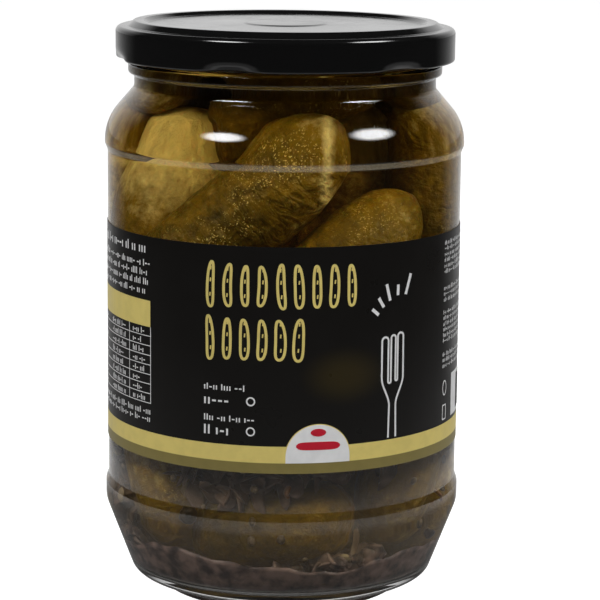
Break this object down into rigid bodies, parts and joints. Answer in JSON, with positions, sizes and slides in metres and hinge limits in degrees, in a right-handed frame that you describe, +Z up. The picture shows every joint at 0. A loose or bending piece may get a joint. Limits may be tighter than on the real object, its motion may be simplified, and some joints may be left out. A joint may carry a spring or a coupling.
{
  "type": "pickle jar",
  "caption": "Tall glass jar of pickled gherkins in brine, with a black twist-off lid and a black film label with a gold band.",
  "frame": {"origin": "centre of the jar's foot ring, on the surface that the jar stands on", "axes": "+Z up along the jar's axis, -Y towards the front of the label, +X to the right of someone who reads the label"},
  "size_m": [0.0906, 0.0906, 0.1441],
  "materials": {
    "glass": "clear flint glass, smooth and glossy",
    "lid_lacquer": "tinplate with glossy black lacquer",
    "label_film": "thin printed film, black with gold and white print, satin",
    "gherkin_skin": "wet olive and yellow-brown gherkin skin with fine warts",
    "brine": "slightly cloudy yellow-brown brine",
    "spice": "wet seeds and small pieces of onion and dill"
  },
  "bodies": {
    "root": {"jar_glass": "glass", "lid": "lid_lacquer", "label": "label_film", "gherkins": "gherkin_skin"}
  },
  "joints": []
}
